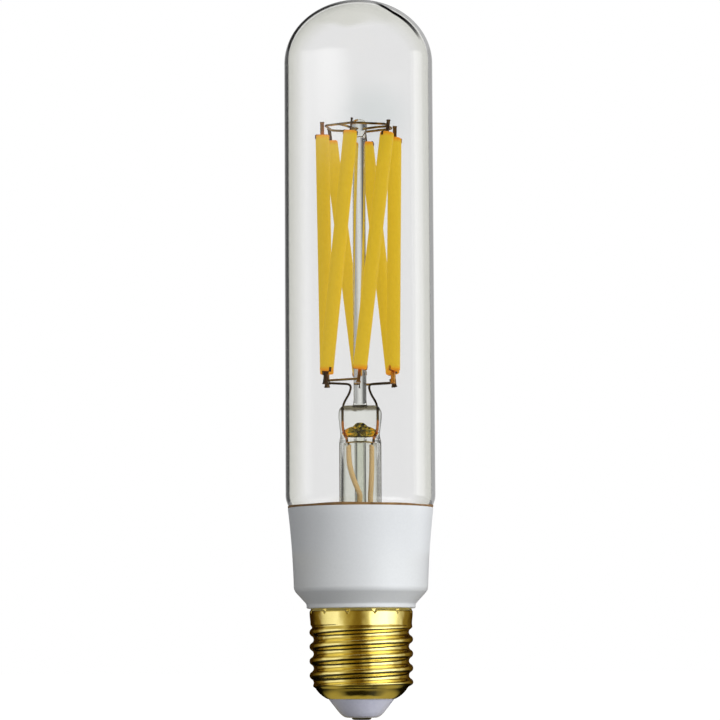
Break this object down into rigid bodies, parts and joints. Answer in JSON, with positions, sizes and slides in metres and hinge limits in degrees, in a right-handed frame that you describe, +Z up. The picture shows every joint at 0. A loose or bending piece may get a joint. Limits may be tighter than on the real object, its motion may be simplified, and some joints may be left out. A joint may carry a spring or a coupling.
{
  "type": "tubular light bulb",
  "caption": "Clear tubular LED filament lamp with a domed glass tube, a twisted filament cage on a glass stem, a white driver collar and an E27 screw cap.",
  "frame": {"origin": "centre of the lower face of the centre contact, on the lamp's axis", "axes": "+Z up the lamp's axis from the cap to the dome, -Y towards the front of the picture, +X to its right"},
  "size_m": [0.0382, 0.0382, 0.1847],
  "materials": {
    "clear_glass": "polished clear glass",
    "stem_glass": "fire-polished lead-free glass",
    "cap_brass": "bright pressed brass",
    "collar_plastic": "smooth moulded plastic, satin",
    "insulator_plastic": "moulded plastic",
    "contact_metal": "tinned metal",
    "phosphor": "phosphor-filled silicone coating",
    "tab_metal": "plated metal strip",
    "support_wire": "drawn wire",
    "sleeve_cloth": "woven insulating sleeve",
    "neck_cement": "cured adhesive",
    "board_laminate": "solder mask on laminate",
    "component_black": "moulded package",
    "capacitor_sleeve": "shrunk sleeve",
    "choke_ferrite": "ferrite",
    "resistor_body": "cement coating",
    "feed_insulation": "wire insulation"
  },
  "bodies": {
    "root": {"glass_envelope": "clear_glass", "stem_flare": "stem_glass", "exhaust_tube": "stem_glass", "centre_rod": "stem_glass", "screw_cap": "cap_brass", "insulator": "insulator_plastic", "centre_contact": "contact_metal", "collar": "collar_plastic", "neck_adhesive": "neck_cement", "top_ring": "support_wire", "left_bus": "support_wire", "right_bus": "support_wire", "left_lead": "support_wire", "right_lead": "support_wire", "left_sleeve": "sleeve_cloth", "right_sleeve": "sleeve_cloth", "driver_board": "board_laminate", "rectifier": "component_black", "controller_chip": "component_black", "smoothing_capacitor": "capacitor_sleeve", "choke": "choke_ferrite", "fusible_resistor": "resistor_body", "live_wire": "feed_insulation", "neutral_wire": "feed_insulation", "ring_spoke_1": "support_wire", "ring_spoke_2": "support_wire", "ring_spoke_3": "support_wire", "filament_1": "phosphor", "top_tab_1": "tab_metal", "foot_tab_1": "tab_metal", "filament_2": "phosphor", "top_tab_2": "tab_metal", "foot_tab_2": "tab_metal", "filament_3": "phosphor", "top_tab_3": "tab_metal", "foot_tab_3": "tab_metal", "filament_4": "phosphor", "top_tab_4": "tab_metal", "foot_tab_4": "tab_metal", "filament_5": "phosphor", "top_tab_5": "tab_metal", "foot_tab_5": "tab_metal", "filament_6": "phosphor", "top_tab_6": "tab_metal", "foot_tab_6": "tab_metal"}
  },
  "joints": []
}
